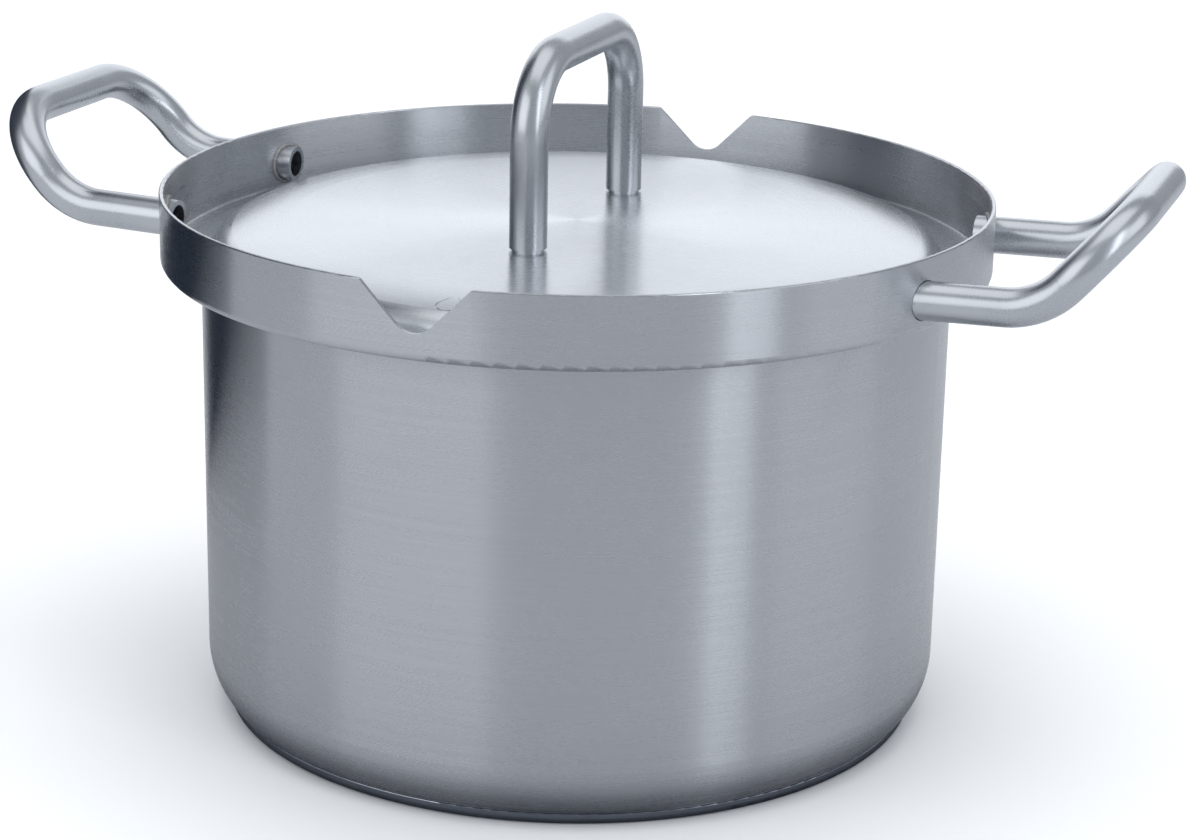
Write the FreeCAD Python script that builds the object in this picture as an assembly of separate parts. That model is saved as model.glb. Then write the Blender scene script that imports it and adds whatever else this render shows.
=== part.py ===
"""Stainless-steel stovetop casserole with a recessed lid, tube handles and two pouring notches.

The pot stands on the plane z = 0 and its axis is the Z axis.  The two side handles lie along
+X and -X, and the two pouring notches in the rim face +Y and -Y.  All sizes are millimetres.
"""
import FreeCAD, Part
import os
from math import asin, atan2, cos, degrees, pi, radians, sin, sqrt, tan

V = FreeCAD.Vector
UP = V(0, 0, 1)
ORIGIN = V(0, 0, 0)

# ---- pot shell -----------------------------------------------------------------------------
sheet = 1.4                     # drawn sheet, the same all over
height = 173.0                  # table to the rim's top edge
rim_radius = 135.0
rim_height = 23.0               # from the step up to the rim's top edge
body_radius = 122.0
corner_radius = 24.0            # the large radius between side wall and base
corner_centre_height = 20.0
base_bend_radius = 7.0          # the tighter radius that runs into the flat base
base_plane = 3.0                # underside of the shell's flat base
step_bend_radius = 1.5          # outside, under the step
rim_bend_radius = 2.4           # outside, at the rim's lower edge
edge_round = 0.35               # broken edge along the rim's top

# ---- sandwich base -------------------------------------------------------------------------
cap_radius = 115.5
cap_height = 3.8
cap_sheet = 0.6
cap_round = 2.2

# ---- pouring notches -----------------------------------------------------------------------
notch_half_width = 17.6
notch_depth = 14.5
notch_lip_round = 2.0

# ---- side handles --------------------------------------------------------------------------
tube_radius = 6.0
tube_wall = 1.6
handle_half_spacing = 44.5      # leg axis to the handle's mid plane
handle_leg_drop = 13.0          # rim top down to the leg axis, at the rim wall
handle_leg_rise = 1.5           # degrees that the legs climb outwards
handle_tip = 122.5              # where the open tube ends stop inside the rim
handle_bend_reach = 162.5       # corner between leg and slope
handle_slope = 49.0             # degrees that the slope climbs
handle_reach = 186.0            # the grip bar's axis
handle_leg_bend = 25.0
handle_grip_bend = 24.0
hole_clearance = 0.25
weld_width = 1.6
weld_throat = 1.2

# ---- lid -----------------------------------------------------------------------------------
lid_sheet = 1.2
lid_drop = 11.0                 # rim top down to the lid's flat top
lid_flat_radius = 94.0
lid_crown_radius = 80.0         # gentle curve between the flat and the shoulder
lid_crown_turn = 13.0           # degrees
lid_shoulder_turn = 75.0        # degrees from level where the shoulder is steepest
lid_flange_bend = 1.5
lid_flange_radius = 127.0
mark_distance = 109.0           # lid axis to the middle of the engraved drop
mark_length = 12.5
mark_width = 7.6
mark_groove = 0.5
mark_depth = 0.25

# ---- lid handle ----------------------------------------------------------------------------
lid_handle_half_spacing = 44.5
lid_handle_height = 58.3        # lid top up to the grip bar's axis
lid_handle_bend = 23.0
foot_gap = 1.1                  # shadow gap between the tube's end and the lid
foot_radius = 5.2
plug_length = 12.0
screw_radius = 2.5
screw_head_radius = 4.6
screw_head_height = 2.6
washer_radius = 6.5
washer_thickness = 1.0

ledge_top = height - rim_height + sheet
lid_top = height - lid_drop
lid_flange_top = ledge_top + lid_sheet


def save(shape, node):
    """Check a finished sub-part and write its file."""
    shape = shape.removeSplitter()
    if not shape.isValid() or len(shape.Solids) != 1:
        raise ValueError(node + " is not one valid solid")
    shape.exportStep("parts/" + node + ".step")
    box = shape.BoundBox
    print("%-26s %9.1f mm3   x %7.1f %7.1f   y %7.1f %7.1f   z %6.1f %6.1f" % (
        node, shape.Volume, box.XMin, box.XMax, box.YMin, box.YMax, box.ZMin, box.ZMax))
    return shape


class Outline:
    """A half section in the XZ plane, drawn edge by edge and then turned about the Z axis."""

    def __init__(self, x, z):
        self.start = V(x, 0, z)
        self.here = self.start
        self.edges = []

    def line(self, x, z):
        end = V(x, 0, z)
        if (end - self.here).Length > 1e-6:
            self.edges.append(Part.LineSegment(self.here, end).toShape())
        self.here = end
        return self

    def arc(self, centre_x, centre_z, end_x, end_z):
        """Short way round from the current point to the end, about the given centre."""
        centre = V(centre_x, 0, centre_z)
        end = V(end_x, 0, end_z)
        radius = (self.here - centre).Length
        middle = (self.here + end) * 0.5 - centre
        through = centre + middle.normalize() * radius
        self.edges.append(Part.Arc(self.here, through, end).toShape())
        self.here = end
        return self

    def wire(self):
        self.line(self.start.x, self.start.z)
        return Part.Wire(self.edges)

    def turned(self):
        return Part.Face(self.wire()).revolve(ORIGIN, UP, 360)


def rounded_path(points, radii):
    """Straight runs through the points, joined by tangent arcs of the given radii."""
    edges = []
    here = points[0]
    for before, corner, after, radius in zip(points, points[1:], points[2:], radii):
        arriving = (corner - before).normalize()
        leaving = (after - corner).normalize()
        turn = arriving.getAngle(leaving)
        reach = radius * tan(turn / 2)
        arc_start = corner - arriving * reach
        arc_end = corner + leaving * reach
        inward = (leaving - arriving).normalize()
        arc_middle = corner + inward * (radius / cos(turn / 2) - radius)
        edges.append(Part.LineSegment(here, arc_start).toShape())
        edges.append(Part.Arc(arc_start, arc_middle, arc_end).toShape())
        here = arc_end
    edges.append(Part.LineSegment(here, points[-1]).toShape())
    return Part.Wire(edges)


def swept(path, points, radius):
    """A round bar of the given radius along the path, square at both ends."""
    profile = Part.Wire(Part.Circle(points[0], points[1] - points[0], radius).toShape())
    return path.makePipeShell([profile], True, False)


def bent_tube(points, radii):
    path = rounded_path(points, radii)
    tube = swept(path, points, tube_radius).cut(swept(path, points, tube_radius - tube_wall))
    expected = pi * (tube_radius ** 2 - (tube_radius - tube_wall) ** 2) * path.Length
    print("tube %.0f mm long, volume %.4f of section times length" % (path.Length, tube.Volume / expected))
    return tube


# ---- pot ---------------------------------------------------------------------------------------
def shell_side(outline, inset, upwards):
    """One face of the drawn sheet, from the middle of the base to the rim, or back again.

    The inset is 0 on the outside and the sheet's thickness on the inside.
    """
    corner_x = body_radius - corner_radius
    big = corner_radius - inset
    bend_z = base_plane + base_bend_radius
    drop = corner_centre_height - bend_z
    bend_x = corner_x + sqrt((corner_radius - base_bend_radius) ** 2 - drop ** 2)
    slope = atan2(drop, bend_x - corner_x)
    join = (corner_x + big * cos(slope), corner_centre_height - big * sin(slope))
    floor = base_plane + inset
    wall = body_radius - inset
    step = height - rim_height + inset
    step_x = body_radius + step_bend_radius
    step_z = height - rim_height - step_bend_radius
    rim = rim_radius - inset
    rim_x = rim_radius - rim_bend_radius
    rim_z = height - rim_height + rim_bend_radius
    if upwards:
        outline.line(bend_x, floor)
        outline.arc(bend_x, bend_z, *join)
        outline.arc(corner_x, corner_centre_height, wall, corner_centre_height)
        outline.line(wall, step_z)
        outline.arc(step_x, step_z, step_x, step)
        outline.line(rim_x, step)
        outline.arc(rim_x, rim_z, rim, rim_z)
        outline.line(rim, height - edge_round)
    else:
        outline.line(rim, rim_z)
        outline.arc(rim_x, rim_z, rim_x, step)
        outline.line(step_x, step)
        outline.arc(step_x, step_z, wall, step_z)
        outline.line(wall, corner_centre_height)
        outline.arc(corner_x, corner_centre_height, *join)
        outline.arc(bend_x, bend_z, bend_x, floor)
        outline.line(0, floor)


def drawn_shell():
    outline = Outline(0, base_plane)
    shell_side(outline, 0, True)
    outline.arc(rim_radius - edge_round, height - edge_round, rim_radius - edge_round, height)
    outline.line(rim_radius - sheet + edge_round, height)
    outline.arc(rim_radius - sheet + edge_round, height - edge_round, rim_radius - sheet, height - edge_round)
    shell_side(outline, sheet, False)
    return outline.turned()


def notch_cutter():
    """A V with 45 degree sides, a round bottom and rounded lips, cut through both rim walls."""
    bottom_round = (notch_half_width - notch_depth) / (sqrt(2) - 1)
    bottom_z = height - notch_depth + bottom_round
    lip_reach = notch_lip_round * tan(pi / 8)
    lip_x = notch_half_width + lip_reach
    lip_z = height - notch_lip_round
    lip_end_x = lip_x - notch_lip_round * sin(pi / 4)
    lip_end_z = lip_z + notch_lip_round * cos(pi / 4)
    tangent = bottom_round * sin(pi / 4)
    outline = Outline(-lip_x, height + 5)
    outline.line(-lip_x, height)
    outline.arc(-lip_x, lip_z, -lip_end_x, lip_end_z)
    outline.line(-tangent, bottom_z - tangent)
    outline.arc(0, bottom_z, tangent, bottom_z - tangent)
    outline.line(lip_end_x, lip_end_z)
    outline.arc(lip_x, lip_z, lip_x, height)
    outline.line(lip_x, height + 5)
    blade = Part.Face(outline.wire()).extrude(V(0, 3 * rim_radius, 0))
    blade.translate(V(0, -1.5 * rim_radius, 0))
    return blade


def handle_points(side, mirror_y=1):
    """The corners of a side handle's centre line; side is +1 for the handle along +X."""
    rise = tan(radians(handle_leg_rise))
    leg_z = height - handle_leg_drop
    wall_x = sqrt(rim_radius ** 2 - handle_half_spacing ** 2)
    tip_z = leg_z + (handle_tip - wall_x) * rise
    bend_z = leg_z + (handle_bend_reach - wall_x) * rise
    grip_z = bend_z + (handle_reach - handle_bend_reach) * tan(radians(handle_slope))
    leg = [(handle_tip, tip_z), (handle_bend_reach, bend_z), (handle_reach, grip_z)]
    near = [V(side * x, -mirror_y * handle_half_spacing, z) for x, z in leg]
    far = [V(side * x, mirror_y * handle_half_spacing, z) for x, z in reversed(leg)]
    return near + far


def leg_axes():
    """Tip and first corner of each of the four handle legs, with the name of its weld."""
    for side, side_name in ((-1, "left"), (1, "right")):
        for mirror_y, leg_name in ((1, "front"), (-1, "back")):
            points = handle_points(side, mirror_y)
            yield side_name + "_" + leg_name, points[0], points[1]


def leg_bar(tip, corner, radius):
    """A bar on a leg's axis, long enough to pass through the rim wall on both sides."""
    along = (corner - tip).normalize()
    return Part.makeCylinder(radius, 24, tip - along * 6, along)


def pot_shell():
    shell = drawn_shell().cut(notch_cutter())
    for name, tip, corner in leg_axes():
        shell = shell.cut(leg_bar(tip, corner, tube_radius + hole_clearance))
    return shell


def weld_bead(tip, corner):
    """The ring of weld that fixes a leg to the inside of the rim wall."""
    low = height - rim_height
    wall = rim_radius - sheet
    band = Part.makeCylinder(wall, rim_height, V(0, 0, low)).cut(
        Part.makeCylinder(wall - weld_throat, rim_height, V(0, 0, low)))
    ring = leg_bar(tip, corner, tube_radius + weld_width).cut(leg_bar(tip, corner, tube_radius))
    bead = ring.common(band)
    return max(bead.Solids, key=lambda solid: solid.Volume)


def base_core():
    """The heat-spreading aluminium disc between the shell's base and the steel cap."""
    radius = cap_radius - cap_sheet - 0.6
    inner_round = cap_round - cap_sheet
    disc = Part.makeCylinder(radius, base_plane - cap_sheet, V(0, 0, cap_sheet))
    lower_edge = [edge for edge in disc.Edges if abs(edge.BoundBox.ZMax - cap_sheet) < 1e-6]
    return disc.makeChamfer(inner_round * 0.6, lower_edge)


def base_cap():
    """The pressed steel cup that closes the base and stands on the stove."""
    outline = Outline(0, 0)
    outline.line(cap_radius - cap_round, 0)
    outline.arc(cap_radius - cap_round, cap_round, cap_radius, cap_round)
    outline.line(cap_radius, cap_height - cap_sheet / 2)
    outline.arc(cap_radius - cap_sheet / 2, cap_height - cap_sheet / 2, cap_radius - cap_sheet / 2, cap_height)
    outline.line(cap_radius - cap_sheet, cap_height)
    outline.line(cap_radius - cap_sheet, cap_round)
    outline.arc(cap_radius - cap_round, cap_round, cap_radius - cap_round, cap_sheet)
    outline.line(0, cap_sheet)
    return outline.turned()


# ---- lid ---------------------------------------------------------------------------------------
def lid_side(inset):
    """Key points of one face of the lid's sheet; the inset is 0 on top and the sheet below."""
    crown = lid_crown_radius - inset
    crown_turn = radians(lid_crown_turn)
    shoulder_turn = radians(lid_shoulder_turn)
    fall = lid_top - lid_flange_top
    crown_fall = lid_crown_radius * (1 - cos(crown_turn))
    foot_fall = lid_flange_bend * (1 - cos(shoulder_turn))
    shoulder = (fall - crown_fall - foot_fall) / (cos(crown_turn) - cos(shoulder_turn))
    crown_centre = (lid_flat_radius, lid_top - lid_crown_radius)
    to_shoulder = lid_crown_radius - shoulder
    shoulder_centre = (crown_centre[0] + to_shoulder * sin(crown_turn),
                       crown_centre[1] + to_shoulder * cos(crown_turn))
    to_foot = shoulder + lid_flange_bend
    foot_centre = (shoulder_centre[0] + to_foot * sin(shoulder_turn),
                   shoulder_centre[1] + to_foot * cos(shoulder_turn))
    crown_end = (crown_centre[0] + crown * sin(crown_turn), crown_centre[1] + crown * cos(crown_turn))
    shoulder_end = (shoulder_centre[0] + (shoulder - inset) * sin(shoulder_turn),
                    shoulder_centre[1] + (shoulder - inset) * cos(shoulder_turn))
    flange_start = (foot_centre[0], lid_flange_top - inset)
    return crown_centre, crown_end, shoulder_centre, shoulder_end, foot_centre, flange_start


def drop_outline(length, width):
    """A flat drop shape centred on its round end's side, with its tip towards +Y."""
    radius = width / 2
    tip_distance = length - radius
    contact = asin(radius / tip_distance)
    left = V(-radius * cos(contact), radius * sin(contact), 0)
    right = V(radius * cos(contact), radius * sin(contact), 0)
    tip = V(0, tip_distance, 0)
    round_end = Part.Arc(right, V(0, -radius, 0), left).toShape()
    return Part.Wire([Part.LineSegment(left, tip).toShape(), Part.LineSegment(tip, right).toShape(), round_end])


def drop_groove():
    """The engraved outline near the lid's edge that is turned to a pouring notch."""
    outer = Part.Face(drop_outline(mark_length, mark_width)).extrude(UP * 4)
    inner = Part.Face(drop_outline(mark_length - 2.6 * mark_groove, mark_width - 2 * mark_groove)).extrude(UP * 4)
    groove = outer.cut(inner)
    climb = mark_distance - lid_flat_radius
    surface_z = lid_top - lid_crown_radius + sqrt(lid_crown_radius ** 2 - climb ** 2)
    groove.rotate(ORIGIN, V(1, 0, 0), degrees(asin(climb / lid_crown_radius)))
    groove.translate(V(0, -mark_distance, surface_z - mark_depth))
    return groove


def lid_plate():
    crown_centre, crown_end, shoulder_centre, shoulder_end, foot_centre, flange_start = lid_side(0)
    outline = Outline(0, lid_top)
    outline.line(lid_flat_radius, lid_top)
    outline.arc(*crown_centre, *crown_end)
    outline.arc(*shoulder_centre, *shoulder_end)
    outline.arc(*foot_centre, *flange_start)
    edge = lid_sheet / 2
    outline.line(lid_flange_radius - edge, lid_flange_top)
    outline.arc(lid_flange_radius - edge, lid_flange_top - edge, lid_flange_radius, lid_flange_top - edge)
    outline.arc(lid_flange_radius - edge, lid_flange_top - edge, lid_flange_radius - edge, ledge_top)
    crown_centre, crown_end, shoulder_centre, shoulder_end, foot_centre, flange_start = lid_side(lid_sheet)
    outline.line(*flange_start)
    outline.arc(*foot_centre, *shoulder_end)
    outline.arc(*shoulder_centre, *crown_end)
    outline.arc(*crown_centre, lid_flat_radius, lid_top - lid_sheet)
    outline.line(0, lid_top - lid_sheet)
    plate = outline.turned().cut(drop_groove())
    for y in (-lid_handle_half_spacing, lid_handle_half_spacing):
        plate = plate.cut(Part.makeCylinder(screw_radius, 6, V(0, y, lid_top - 4)))
    return plate


def lid_handle():
    """An upside-down U of the same tube; its ends stop short of the lid."""
    foot = lid_top + foot_gap
    bar = lid_top + lid_handle_height
    y = lid_handle_half_spacing
    return bent_tube([V(0, -y, foot), V(0, -y, bar), V(0, y, bar), V(0, y, foot)], [lid_handle_bend] * 2)


def lid_foot(y):
    """Plug pressed into a leg's end; its collar carries the leg just clear of the lid."""
    collar = Part.makeCylinder(foot_radius, foot_gap, V(0, y, lid_top))
    stem = Part.makeCylinder(tube_radius - tube_wall, plug_length, V(0, y, lid_top + foot_gap))
    thread = Part.makeCylinder(screw_radius, plug_length - 2, V(0, y, lid_top))
    return collar.fuse(stem).removeSplitter().cut(thread)


def lid_washer(y):
    under = lid_top - lid_sheet - washer_thickness
    washer = Part.makeCylinder(washer_radius, washer_thickness, V(0, y, under))
    return washer.cut(Part.makeCylinder(screw_radius, washer_thickness, V(0, y, under)))


def lid_screw(y):
    """Pan-head screw driven up through the lid into the plug, with a hexagon socket."""
    under = lid_top - lid_sheet - washer_thickness
    head = Part.makeCylinder(screw_head_radius, screw_head_height, V(0, y, under - screw_head_height))
    rim = [edge for edge in head.Edges if abs(edge.BoundBox.ZMax - (under - screw_head_height)) < 1e-6]
    head = head.makeFillet(screw_head_height * 0.45, rim)
    shank = Part.makeCylinder(screw_radius, plug_length - 2 + lid_sheet + washer_thickness - 1, V(0, y, under))
    corners = [V(1.7 * cos(radians(60 * k)), y + 1.7 * sin(radians(60 * k)), under - screw_head_height)
               for k in range(7)]
    socket = Part.Face(Part.makePolygon(corners)).extrude(UP * 1.5)
    return head.fuse(shank).removeSplitter().cut(socket)


def main():
    os.makedirs("parts", exist_ok=True)
    save(pot_shell(), "pot_shell")
    save(base_core(), "base_core")
    save(base_cap(), "base_cap")
    for side, name in ((-1, "left"), (1, "right")):
        bends = [handle_leg_bend, handle_grip_bend, handle_grip_bend, handle_leg_bend]
        save(bent_tube(handle_points(side), bends), "side_handle_" + name)
    for name, tip, corner in leg_axes():
        save(weld_bead(tip, corner), "handle_weld_" + name)
    save(lid_plate(), "lid_plate")
    save(lid_handle(), "lid_handle")
    for y, name in ((-lid_handle_half_spacing, "front"), (lid_handle_half_spacing, "back")):
        save(lid_foot(y), "lid_foot_" + name)
        save(lid_washer(y), "lid_washer_" + name)
        save(lid_screw(y), "lid_screw_" + name)


main()
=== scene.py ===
# %% [markdown]
# # A brushed steel casserole with a recessed lid
#
# The object is a deep stainless-steel casserole. Its rim is wider than its body and has two
# pouring notches, its side handles and lid handle are bent from one size of tube, and its lid
# lies on the step inside the rim. The shapes come ready-made from the CAD model, which is
# loaded here as a fixed frame. This lesson adds what CAD has no word for: how steel looks when
# it has been brushed, the ripples of a weld, and the light that the pot stands in.

import bpy
from math import cos, pi, radians, sin
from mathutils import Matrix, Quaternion, Vector


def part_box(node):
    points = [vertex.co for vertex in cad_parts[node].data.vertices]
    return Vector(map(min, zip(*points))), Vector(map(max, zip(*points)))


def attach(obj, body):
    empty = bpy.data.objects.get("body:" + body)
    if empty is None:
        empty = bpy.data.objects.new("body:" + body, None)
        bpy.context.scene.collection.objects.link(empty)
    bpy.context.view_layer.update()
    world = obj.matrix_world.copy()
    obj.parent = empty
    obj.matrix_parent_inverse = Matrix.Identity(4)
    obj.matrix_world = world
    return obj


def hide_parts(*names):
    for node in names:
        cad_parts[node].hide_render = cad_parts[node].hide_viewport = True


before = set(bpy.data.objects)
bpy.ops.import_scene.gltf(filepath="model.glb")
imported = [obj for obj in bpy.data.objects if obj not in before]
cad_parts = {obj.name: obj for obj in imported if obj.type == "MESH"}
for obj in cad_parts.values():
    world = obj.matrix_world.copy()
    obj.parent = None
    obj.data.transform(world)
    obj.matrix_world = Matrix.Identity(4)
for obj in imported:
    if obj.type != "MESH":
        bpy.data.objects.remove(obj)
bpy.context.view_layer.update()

# %% [markdown]
# Sizes that a later step needs are read from the CAD pieces where a box can give them, so the
# pieces made here fit. The thickness of the sheet and the radius of the handle tube can't be
# read from a box, so they are written here.

# %% Measure the pot
rim_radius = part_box("pot_shell")[1].x
pot_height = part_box("pot_shell")[1].z
sheet = 0.0014
tube_radius = 0.006
wall_radius = rim_radius - sheet
print("rim %.0f mm across, pot %.0f mm high" % (2000 * rim_radius, 1000 * pot_height))

# %% [markdown]
# ## Small helpers for node trees
#
# A node tree is easier to read when each node takes one line. `add` makes a node, sets its
# plain settings, and fills its inputs: a number or colour is written into the socket, and
# another node's output is linked to it. An input is given by its name, or as `i0`, `i1` and so
# on where several share a name. `calculate` is one sum, `ramp` remaps a value smoothly from one
# range to another, and `blend_colours` goes from a first colour to a second as a factor rises.

# %% Node helpers
def find_socket(node, label):
    if label[1:].isdigit():
        return node.inputs[int(label[1:])]
    return node.inputs[label.replace("_", " ")]


def fill(tree, socket, value):
    if isinstance(value, bpy.types.NodeSocket):
        tree.links.new(value, socket)
    else:
        socket.default_value = value


def add(tree, kind, settings=None, **inputs):
    node = tree.nodes.new(kind)
    for label, value in (settings or {}).items():
        setattr(node, label, value)
    for label, value in inputs.items():
        fill(tree, find_socket(node, label), value)
    return node


def calculate(tree, operation, first, second=0.0, third=0.0):
    node = add(tree, "ShaderNodeMath", {"operation": operation}, i0=first, i1=second, i2=third)
    return node.outputs[0]


def ramp(tree, value, low, high, to_low, to_high):
    node = add(tree, "ShaderNodeMapRange", {"interpolation_type": "SMOOTHSTEP"}, Value=value,
               From_Min=low, From_Max=high, To_Min=to_low, To_Max=to_high)
    return node.outputs[0]


def blend_colours(tree, factor, first, second):
    node = add(tree, "ShaderNodeMix", {"data_type": "RGBA"}, i0=factor)
    for label, colour in (("i6", first), ("i7", second)):
        whole = colour if isinstance(colour, bpy.types.NodeSocket) else (*colour, 1.0)
        fill(tree, find_socket(node, label), whole)
    return node.outputs[2]


def new_group(name, inputs, outputs):
    """An empty shader group with float inputs and float outputs, and its two end nodes."""
    group = bpy.data.node_groups.new(name, "ShaderNodeTree")
    for label, value in inputs:
        socket = group.interface.new_socket(label, in_out="INPUT", socket_type="NodeSocketFloat")
        socket.default_value = value
    for label in outputs:
        group.interface.new_socket(label, in_out="OUTPUT", socket_type="NodeSocketFloat")
    return group, group.nodes.new("NodeGroupInput").outputs, group.nodes.new("NodeGroupOutput").inputs


print("helpers ready")

# %% [markdown]
# ## Round brushing
#
# The pot and its lid are spun against an abrasive belt, so every scratch is a piece of a circle
# about the pot's axis. A wood-like texture that is stretched along X would be wrong on the far
# side. Instead the direction round the axis is kept as a point on a circle, and the height and
# the distance from the axis are stretched far more than it. Noise read in that space makes long
# thin arcs on walls and floors alike, with no seam where the angle starts again.

# %% Group: round_brushing
# For each layer: its share of the lines per metre, its noise detail and its shift of the seed.
arc_layers = (("Fine", 1.0, 2.0, 0.0), ("Broad", 0.16, 3.0, 40.0), ("Cloud", 0.008, 2.0, 80.0))


def make_round_brushing():
    group, given, result = new_group(
        "round_brushing",
        [("Lines per metre", 2600.0), ("Arcs per turn", 3.0), ("Seed", 0.0)],
        ["Fine", "Broad", "Cloud"])
    place = add(group, "ShaderNodeTexCoord").outputs["Object"]
    flat = add(group, "ShaderNodeVectorMath", {"operation": "MULTIPLY"}, i0=place, i1=(1, 1, 0)).outputs[0]
    outward = add(group, "ShaderNodeVectorMath", {"operation": "NORMALIZE"}, i0=flat).outputs[0]
    distance = add(group, "ShaderNodeVectorMath", {"operation": "LENGTH"}, i0=flat).outputs["Value"]
    height = add(group, "ShaderNodeSeparateXYZ", Vector=place).outputs["Z"]
    turn = add(group, "ShaderNodeVectorMath", {"operation": "SCALE"}, i0=outward,
               Scale=given["Arcs per turn"]).outputs[0]
    along = add(group, "ShaderNodeSeparateXYZ", Vector=turn).outputs

    def arcs(share, detail, shift):
        lines = calculate(group, "MULTIPLY", given["Lines per metre"], share)
        up = calculate(group, "MULTIPLY", height, lines)
        shifted_seed = calculate(group, "ADD", given["Seed"], shift)
        out = calculate(group, "MULTIPLY_ADD", distance, lines, shifted_seed)
        where = add(group, "ShaderNodeCombineXYZ", X=along["X"], Y=along["Y"], Z=up).outputs[0]
        return add(group, "ShaderNodeTexNoise", {"noise_dimensions": "4D"}, Vector=where, W=out,
                   Scale=1.0, Detail=detail, Roughness=0.6).outputs[0]

    for label, share, detail, shift in arc_layers:
        group.links.new(arcs(share, detail, shift), result[label])
    return group


round_brushing = make_round_brushing()
print("group round_brushing with", len(round_brushing.nodes), "nodes")

# %% [markdown]
# ## Handling marks
#
# Steel that is picked up and wiped is never one gloss all over. Soft clouds a few centimetres
# wide stand for wiping, and small spots for water marks. Both are plain noise on the object's
# own coordinates, remapped so that only its higher parts count. They go mostly to the roughness,
# which is why they show in the edge of a reflection and hardly anywhere else.

# %% Group: handling_marks
mark_low, mark_high = 0.35, 0.68


def make_handling_marks():
    group, given, result = new_group(
        "handling_marks", [("Cloud size", 0.05), ("Spot size", 0.004), ("Seed", 0.0)], ["Clouds", "Spots"])
    place = add(group, "ShaderNodeTexCoord").outputs["Object"]
    for size, detail, mark in (("Cloud size", 3.0, "Clouds"), ("Spot size", 1.0, "Spots")):
        scale = calculate(group, "DIVIDE", 1.0, given[size])
        noise = add(group, "ShaderNodeTexNoise", {"noise_dimensions": "4D"}, Vector=place,
                    W=given["Seed"], Scale=scale, Detail=detail, Roughness=0.55).outputs[0]
        group.links.new(ramp(group, noise, mark_low, mark_high, 0.0, 1.0), result[mark])
    return group


handling_marks = make_handling_marks()
print("group handling_marks with", len(handling_marks.nodes), "nodes")

# %% [markdown]
# ## Steel brushed round the axis
#
# The shell, the lid and the base cap share one recipe. The brushing changes the colour and the
# roughness a little, and lifts the surface by two thousandths of a millimetre at most. The
# important part is anisotropy: scratches spread a reflection across themselves and hardly along
# themselves, so a lamp becomes a tall soft band on the body and a bow tie on the lid. The
# tangent runs round the axis, and a quarter turn points the spread across the scratches.
#
# The cap gets a darker and glossier steel of its own. Its darkness is partly a base closed with a
# magnetic steel, as pots for induction hobs are, and partly painted shade for the foot of the pot.

# %% Recipe for steel brushed round the axis
quarter_turn = 0.25
fine_share, broad_share = 0.6, 0.4
streak_share, cloud_share = 0.75, 0.25
streak_low, streak_high = 0.3, 0.7
brushed_swing = 0.018
cloud_wear, spot_wear = 0.025, 0.01
wiping_size, water_mark_size = 0.06, 0.004


def steel_surface(name):
    material = bpy.data.materials.new(name)
    material.use_nodes = True
    tree = material.node_tree
    shader = tree.nodes["Principled BSDF"]
    shader.inputs["Metallic"].default_value = 1.0
    return material, tree, shader


def mix_values(tree, first, first_share, second, second_share):
    return calculate(tree, "ADD", calculate(tree, "MULTIPLY", first, first_share),
                     calculate(tree, "MULTIPLY", second, second_share))


def brushed_round(name, dark, light, roughness, spread, lines, arcs, depth, seed):
    material, tree, shader = steel_surface(name)
    brush = add(tree, "ShaderNodeGroup", {"node_tree": round_brushing}, i0=lines, i1=arcs, i2=seed)
    marks = add(tree, "ShaderNodeGroup", {"node_tree": handling_marks},
                i0=wiping_size, i1=water_mark_size, i2=seed)
    fine, broad, cloud = brush.outputs
    streaks = mix_values(tree, fine, fine_share, broad, broad_share)
    tone = mix_values(tree, streaks, streak_share, cloud, cloud_share)
    colour = blend_colours(tree, ramp(tree, tone, streak_low, streak_high, 0.0, 1.0), dark, light)
    tree.links.new(colour, shader.inputs["Base Color"])
    brushed = ramp(tree, streaks, streak_low, streak_high,
                   roughness - brushed_swing, roughness + brushed_swing)
    wiped = calculate(tree, "ADD", brushed, calculate(tree, "MULTIPLY", marks.outputs["Clouds"], cloud_wear))
    spotted = calculate(tree, "ADD", wiped, calculate(tree, "MULTIPLY", marks.outputs["Spots"], spot_wear))
    tree.links.new(spotted, shader.inputs["Roughness"])
    shader.inputs["Anisotropic"].default_value = spread
    shader.inputs["Anisotropic Rotation"].default_value = quarter_turn
    tangent = add(tree, "ShaderNodeTangent", {"direction_type": "RADIAL", "axis": "Z"})
    tree.links.new(tangent.outputs[0], shader.inputs["Tangent"])
    bump = add(tree, "ShaderNodeBump", Strength=1.0, Distance=depth, Height=streaks)
    tree.links.new(bump.outputs[0], shader.inputs["Normal"])
    return material


print("recipe brushed_round is ready")

# %% Steels of the body, the lid and the cap
body_steel = brushed_round(
    "body_steel", dark=(0.53, 0.545, 0.57), light=(0.575, 0.59, 0.615), roughness=0.26,
    spread=1.0, lines=2200.0, arcs=1.3, depth=0.0000005, seed=1.0)
lid_steel = brushed_round(
    "lid_steel", dark=(0.59, 0.61, 0.64), light=(0.65, 0.67, 0.70), roughness=0.26,
    spread=0.7, lines=2600.0, arcs=4.0, depth=0.0000015, seed=7.0)
# The cap's dark colour is partly magnetic steel and partly painted shade for the foot of the pot.
cap_steel_and_shade = brushed_round(
    "cap_steel_and_shade", dark=(0.36, 0.39, 0.44), light=(0.46, 0.49, 0.54), roughness=0.20,
    spread=0.6, lines=2200.0, arcs=7.0, depth=0.000002, seed=4.0)
print("made", [m.name for m in (body_steel, lid_steel, cap_steel_and_shade)])

# %% [markdown]
# ## Satin steel and the other metals
#
# The tubes are ground and then dulled, so their finish is fine and even, with faint marks. A
# direction along a bent tube would need a map of the tube. Here a small noise on Object
# coordinates has to do, which has no direction and needs no unwrapping. The screws, washers and
# welds use the same recipe with coarser grain, and so does the aluminium disc in the base, which
# is closed in.

# %% Recipe for satin metal
grain_share, tone_cloud_share = 0.7, 0.3
tone_low, tone_high = 0.2, 0.8
ground_swing = 0.015
satin_wear = 0.03
thumb_size, speck_size = 0.03, 0.003


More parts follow.
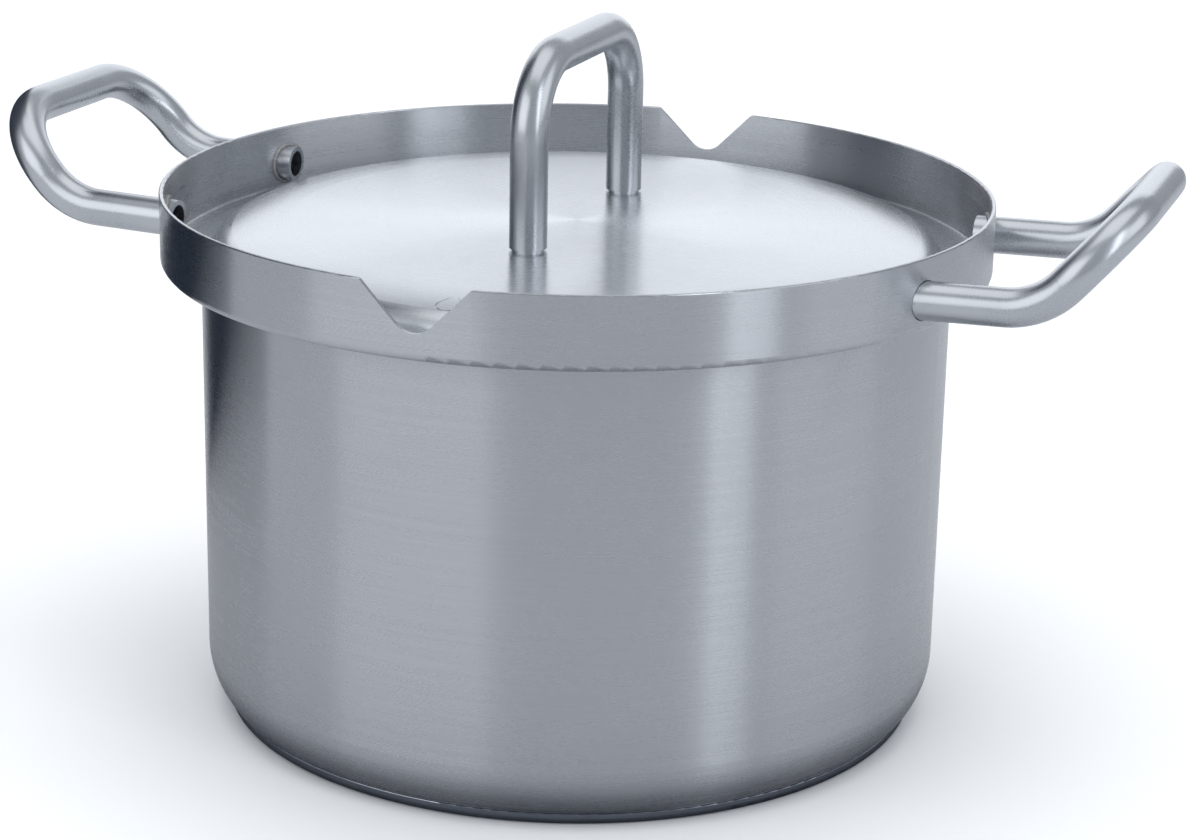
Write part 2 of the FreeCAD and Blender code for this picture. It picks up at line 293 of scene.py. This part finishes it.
def satin(name, dark, light, roughness, grain, depth, seed):
    material, tree, shader = steel_surface(name)
    place = add(tree, "ShaderNodeTexCoord").outputs["Object"]
    fine = add(tree, "ShaderNodeTexNoise", {"noise_dimensions": "4D"}, Vector=place, W=seed,
               Scale=grain, Detail=3.0, Roughness=0.7).outputs[0]
    marks = add(tree, "ShaderNodeGroup", {"node_tree": handling_marks},
                i0=thumb_size, i1=speck_size, i2=seed)
    clouds = marks.outputs["Clouds"]
    tone = mix_values(tree, fine, grain_share, clouds, tone_cloud_share)
    colour = blend_colours(tree, ramp(tree, tone, tone_low, tone_high, 0.0, 1.0), dark, light)
    tree.links.new(colour, shader.inputs["Base Color"])
    ground = ramp(tree, fine, streak_low, streak_high, roughness - ground_swing, roughness + ground_swing)
    rough = calculate(tree, "ADD", ground, calculate(tree, "MULTIPLY", clouds, satin_wear))
    tree.links.new(rough, shader.inputs["Roughness"])
    bump = add(tree, "ShaderNodeBump", Strength=1.0, Distance=depth, Height=fine)
    tree.links.new(bump.outputs[0], shader.inputs["Normal"])
    return material


print("recipe satin is ready")

# %% Metals of the tubes, fasteners, welds and core
tube_steel = satin(
    "tube_steel", dark=(0.55, 0.57, 0.60), light=(0.62, 0.64, 0.67), roughness=0.27,
    grain=1500.0, depth=0.000001, seed=3.0)
fastener_steel = satin(
    "fastener_steel", dark=(0.42, 0.43, 0.45), light=(0.54, 0.55, 0.57), roughness=0.28,
    grain=900.0, depth=0.00001, seed=5.0)
weld_steel = satin(
    "weld_steel", dark=(0.30, 0.30, 0.31), light=(0.50, 0.49, 0.48), roughness=0.36,
    grain=600.0, depth=0.00003, seed=9.0)
core_aluminium = satin(
    "core_aluminium", dark=(0.70, 0.71, 0.72), light=(0.78, 0.79, 0.80), roughness=0.40,
    grain=700.0, depth=0.00001, seed=11.0)
print("made", [m.name for m in (tube_steel, fastener_steel, weld_steel, core_aluminium)])

# %% [markdown]
# ## Dress the CAD pieces
#
# A CAD node keeps its mesh and only gets a material. The pieces that aren't in the table are the
# screws and washers under the lid, and the welds, which are replaced in the next step.

# %% Dress the CAD pieces
finishes = {
    "pot_shell": body_steel, "base_cap": cap_steel_and_shade, "base_core": core_aluminium,
    "lid_plate": lid_steel, "lid_handle": tube_steel,
    "side_handle_left": tube_steel, "side_handle_right": tube_steel,
    "lid_foot_front": tube_steel, "lid_foot_back": tube_steel,
}
for name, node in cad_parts.items():
    finish = finishes.get(name, weld_steel if "weld" in name else fastener_steel)
    node.data.materials.clear()
    node.data.materials.append(finish)
print("dressed", len(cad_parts), "CAD nodes")

# %% [markdown]
# ## Weld beads
#
# Each leg of a side handle passes through the rim wall and is welded to it on the inside. Such a
# weld is a row of small ripples, one for each dab of the rod, that follows the curve where the
# tube meets the round wall. Placing sixty ripples by hand at four legs would be slow and uneven,
# so a Geometry Nodes tree does it by rule. It lays a circle of points, pushes each point onto
# the wall, and puts a small blob of steel on it, each a little different in size. How far out
# the wall is at a point follows from Pythagoras: the wall's radius and the point's offset from
# the middle of the pot are two sides of a right triangle.

# %% Geometry Nodes tree: weld_bead
weld_inputs = (
    ("Side", "Float", 1.0), ("Leg offset", "Float", 0.0445), ("Leg height", "Float", 0.16),
    ("Wall radius", "Float", 0.1336), ("Circle radius", "Float", 0.0065),
    ("Ripple size", "Float", 0.0008), ("Ripples", "Int", 60), ("Seed", "Int", 1))
smallest_ripple, largest_ripple = 0.9, 1.12


def make_weld_tree(material):
    tree = bpy.data.node_groups.new("weld_bead", "GeometryNodeTree")
    tree.is_modifier = True
    for label, kind, value in weld_inputs:
        socket = tree.interface.new_socket(label, in_out="INPUT", socket_type="NodeSocket" + kind)
        socket.default_value = value
    tree.interface.new_socket("Bead", in_out="OUTPUT", socket_type="NodeSocketGeometry")
    given = tree.nodes.new("NodeGroupInput").outputs
    result = tree.nodes.new("NodeGroupOutput").inputs
    circle = add(tree, "GeometryNodeMeshCircle", Vertices=given["Ripples"], Radius=given["Circle radius"])
    position = add(tree, "GeometryNodeInputPosition").outputs[0]
    spot = add(tree, "ShaderNodeSeparateXYZ", Vector=position).outputs
    across = calculate(tree, "ADD", spot["X"], given["Leg offset"])
    up = calculate(tree, "ADD", spot["Y"], given["Leg height"])
    wall_square = calculate(tree, "MULTIPLY", given["Wall radius"], given["Wall radius"])
    across_square = calculate(tree, "MULTIPLY", across, across)
    reach = calculate(tree, "SQRT", calculate(tree, "SUBTRACT", wall_square, across_square))
    out = calculate(tree, "MULTIPLY", reach, given["Side"])
    on_wall = add(tree, "ShaderNodeCombineXYZ", X=out, Y=across, Z=up).outputs[0]
    path = add(tree, "GeometryNodeSetPosition", Geometry=circle.outputs[0], Position=on_wall)
    blob = add(tree, "GeometryNodeMeshIcoSphere", Radius=given["Ripple size"], Subdivisions=2)
    size = add(tree, "FunctionNodeRandomValue", {"data_type": "FLOAT"},
               i2=smallest_ripple, i3=largest_ripple, i8=given["Seed"])
    ripples = add(tree, "GeometryNodeInstanceOnPoints", Points=path.outputs[0],
                  Instance=blob.outputs[0], Scale=size.outputs[1])
    solid = add(tree, "GeometryNodeRealizeInstances", Geometry=ripples.outputs[0])
    smooth = add(tree, "GeometryNodeSetShadeSmooth", Geometry=solid.outputs[0])
    dressed = add(tree, "GeometryNodeSetMaterial", Geometry=smooth.outputs[0], Material=material)
    tree.links.new(dressed.outputs[0], result["Bead"])
    return tree


weld_tree = make_weld_tree(weld_steel)
print("tree weld_bead with", len(weld_tree.nodes), "nodes")

# %% [markdown]
# The tree is used four times, once for each leg. The middle of each CAD weld says where the leg
# meets the wall. The result is turned into a plain mesh, which takes the CAD weld's place, so
# that nothing is left to evaluate when the model is exported.

# %% Weld beads at the four legs
bead_clearance = 0.0005


def make_weld_bead(name, side, offset, height, seed):
    piece = bpy.data.objects.new(name, bpy.data.meshes.new(name))
    bpy.context.scene.collection.objects.link(piece)
    modifier = piece.modifiers.new("weld_bead", "NODES")
    modifier.node_group = weld_tree
    sizes = {"Side": side, "Leg offset": offset, "Leg height": height, "Wall radius": wall_radius,
             "Circle radius": tube_radius + bead_clearance, "Seed": seed}
    for item in weld_tree.interface.items_tree:
        if item.name in sizes:
            modifier[item.identifier] = sizes[item.name]
    shape = piece.evaluated_get(bpy.context.evaluated_depsgraph_get())
    piece.data = bpy.data.meshes.new_from_object(shape)
    piece.modifiers.remove(modifier)
    return piece


for seed, leg in enumerate(("left_front", "left_back", "right_front", "right_back"), 1):
    low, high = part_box("handle_weld_" + leg)
    middle = (low + high) / 2.0
    side = 1.0 if middle.x > 0.0 else -1.0
    bead = make_weld_bead("weld_bead_" + leg, side, middle.y, middle.z, seed)
    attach(bead, "pot")
    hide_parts("handle_weld_" + leg)
    print(bead.name, "has", len(bead.data.polygons), "faces")

# %% [markdown]
# ## Camera
#
# The camera stands to the right of the front notch and looks down by seventeen to eighteen
# degrees. A long lens keeps the rim's ellipse calm. It is held about one degree off level.

# %% Camera
camera_place = Vector((0.3263, -0.8869, 0.3932))
camera_aim = Vector((0.0081, 0.0029, 0.0936))
camera_tilt = radians(1.15)
camera_data = bpy.data.cameras.new("camera")
camera_data.lens = 89.3
camera_data.sensor_width = 36.0
camera_data.clip_start = 0.01
camera = bpy.data.objects.new("camera", camera_data)
bpy.context.scene.collection.objects.link(camera)
camera.rotation_mode = "QUATERNION"
camera.location = camera_place
level = (camera_aim - camera_place).to_track_quat("-Z", "Y")
camera.rotation_quaternion = level @ Quaternion((0, 0, 1), camera_tilt)
bpy.context.scene.camera = camera
print("camera %.2f m from its aim" % (camera_aim - camera_place).length)

# %% [markdown]
# ## Floor
#
# A pale sheet of paper runs out past every view. What steel shows is mostly its surroundings, so
# the paper is a stage with two faces. To the camera it is pale, and far out, where the lamps
# hardly reach, it glows until it meets the pale surround. To reflections it is greyer, and it
# carries a painted shadow: dark grey close to the base, standing for the shade that a real pot
# casts on the table it stands on. That painted shadow helps to make the foot of the body and the
# cap dark. The Light Path node tells the two faces apart.

# %% Floor
floor_radius = 9.0
floor_corners = 96
shade_inner, shade_outer = 0.112, 0.150
glow_start, glow_end = 0.7, 2.4
paper_low, paper_high = (0.92, 0.925, 0.93), (0.94, 0.945, 0.95)
# Reflected colours: a painted shadow, dark grey near the base, then plain grey farther out.
reflected_painted_shadow, reflected_away = (0.12, 0.13, 0.15), (0.53, 0.54, 0.56)
no_glow, full_glow = (0.0, 0.0, 0.0), (0.60, 0.60, 0.60)


def make_floor_material():
    material = bpy.data.materials.new("floor_paper")
    material.use_nodes = True
    tree = material.node_tree
    shader = tree.nodes["Principled BSDF"]
    place = add(tree, "ShaderNodeTexCoord").outputs["Object"]
    cloud = add(tree, "ShaderNodeTexNoise", Vector=place, Scale=3.0).outputs[0]
    reach = add(tree, "ShaderNodeVectorMath", {"operation": "LENGTH"}, i0=place).outputs["Value"]
    seen = add(tree, "ShaderNodeLightPath").outputs["Is Camera Ray"]
    paper = blend_colours(tree, cloud, paper_low, paper_high)
    # Painted shadow: reflections see the paper dark near the base, fading out between these radii.
    away = ramp(tree, reach, shade_inner, shade_outer, 0.0, 1.0)
    reflected = blend_colours(tree, away, reflected_painted_shadow, reflected_away)
    tree.links.new(blend_colours(tree, seen, reflected, paper), shader.inputs["Base Color"])
    far = calculate(tree, "MULTIPLY", seen, ramp(tree, reach, glow_start, glow_end, 0.0, 1.0))
    glow = blend_colours(tree, far, no_glow, full_glow)
    tree.links.new(glow, shader.inputs["Emission Color"])
    shader.inputs["Emission Strength"].default_value = 1.0
    shader.inputs["Roughness"].default_value = 0.9
    shader.inputs["Specular IOR Level"].default_value = 0.1
    return material


def make_floor():
    mesh = bpy.data.meshes.new("floor")
    angles = [2 * pi * k / floor_corners for k in range(floor_corners)]
    corners = [(floor_radius * cos(a), floor_radius * sin(a), 0.0) for a in angles]
    mesh.from_pydata(corners, [], [tuple(range(floor_corners))])
    mesh.materials.append(make_floor_material())
    floor = bpy.data.objects.new("floor", mesh)
    bpy.context.scene.collection.objects.link(floor)
    return floor


print("made", make_floor().name)

# %% [markdown]
# ## Lamps
#
# Each lamp is a softbox, a glowing rectangle, and each is placed for a job. The overhead and the
# backdrop are there for the lid. The broad one on the left is for a wide pale band on the body,
# and the tall narrow window for a brighter band on its right. A thin strip along the window's
# edge sharpens that band, and the one on the far right lifts the body's right edge. The floor
# lamp is only for the paper: with glossy rays off, no steel reflects it.
#
# A place is given by its bearing, which is easier to set than X and Y: 0 is the camera's side,
# and it grows to the camera's right.

# %% Softboxes
camera_bearing = 20.2
foot_of_pot = (0.0, 0.0, 0.0)
middle_of_pot = (0.0, 0.0, 0.1)
middle_of_rim = (0.0, 0.0, 0.15)
white = (1.0, 1.0, 1.0)
cool, cooler, coolest = (0.97, 0.98, 1.0), (0.95, 0.97, 1.0), (0.91, 0.95, 1.0)


def softbox(name, place, aim, width, height, power, colour=white):
    data = bpy.data.lights.new(name, "AREA")
    data.shape = "RECTANGLE"
    data.size = width
    data.size_y = height
    data.energy = power
    data.color = colour
    lamp = bpy.data.objects.new(name, data)
    lamp.location = place
    lamp.visible_camera = False
    lamp.rotation_mode = "QUATERNION"
    lamp.rotation_quaternion = (Vector(aim) - Vector(place)).to_track_quat("-Z", "Y")
    bpy.context.scene.collection.objects.link(lamp)
    return lamp


def around(bearing, distance, height):
    angle = radians(bearing + camera_bearing)
    return (distance * sin(angle), -distance * cos(angle), height)


softbox("overhead", (0.0, 0.1, 2.2), middle_of_pot, width=2.0, height=2.0, power=8.8)
softbox("backdrop", around(180.0, 2.4, 0.9), middle_of_rim, width=2.8, height=1.7, power=12.2, colour=cooler)
softbox("left", around(-48.0, 2.1, 1.05), middle_of_pot, width=2.1, height=1.8, power=11.0, colour=cool)
softbox("window", around(46.0, 2.2, 1.1), middle_of_pot, width=0.56, height=2.0, power=7.0, colour=coolest)
softbox("window_edge", around(40.7, 2.19, 1.1), middle_of_pot, width=0.18, height=2.0, power=0.55)
softbox("right", around(80.0, 2.2, 1.0), middle_of_pot, width=1.6, height=1.4, power=5.3, colour=cool)
floor_lamp = softbox("floor_lamp", (0.0, 0.0, 2.6), foot_of_pot, width=3.0, height=3.0, power=45.0)
floor_lamp.visible_glossy = False

# %% [markdown]
# The surround is pale to the camera, and a middle grey to everything else, so that the parts of
# the steel that face no lamp still show a tone. The Standard view keeps whites white.

# %% Surround
surround_reflected, surround_seen = (0.41, 0.43, 0.46), (0.95, 0.96, 0.97)
world = bpy.data.worlds.new("surround")
world.use_nodes = True
sky = world.node_tree
seen = add(sky, "ShaderNodeLightPath").outputs["Is Camera Ray"]
sky_colour = blend_colours(sky, seen, surround_reflected, surround_seen)
sky.links.new(sky_colour, sky.nodes["Background"].inputs["Color"])
bpy.context.scene.world = world
bpy.context.scene.view_settings.view_transform = "Standard"
print("surround is set")

# %% [markdown]
# ## Dark panel
#
# Steel needs something dark to reflect, or it looks like grey paint. A dark blue panel stands on
# the pot's left and a little behind it, as the camera sees it. It shows only in reflections: the
# camera doesn't see it, and it casts no shadow.

# %% Dark panel
panel_start, panel_end = around(-132.0, 0.31, 0.0), around(-95.0, 0.65, 0.0)
panel_height = 0.8
dark_blue = (0.02, 0.03, 0.05, 1.0)


def make_panel(first, last, height):
    mesh = bpy.data.meshes.new("dark_panel")
    rise = Vector((0.0, 0.0, height))
    foot, end = Vector(first), Vector(last)
    mesh.from_pydata([foot, end, end + rise, foot + rise], [], [(0, 1, 2, 3)])
    material = bpy.data.materials.new("dark_cloth")
    material.use_nodes = True
    shader = material.node_tree.nodes["Principled BSDF"]
    shader.inputs["Base Color"].default_value = dark_blue
    shader.inputs["Roughness"].default_value = 0.9
    mesh.materials.append(material)
    panel = bpy.data.objects.new("dark_panel", mesh)
    panel.visible_camera = False
    panel.visible_diffuse = False
    panel.visible_shadow = False
    bpy.context.scene.collection.objects.link(panel)
    return panel


print("made", make_panel(panel_start, panel_end, panel_height).name)
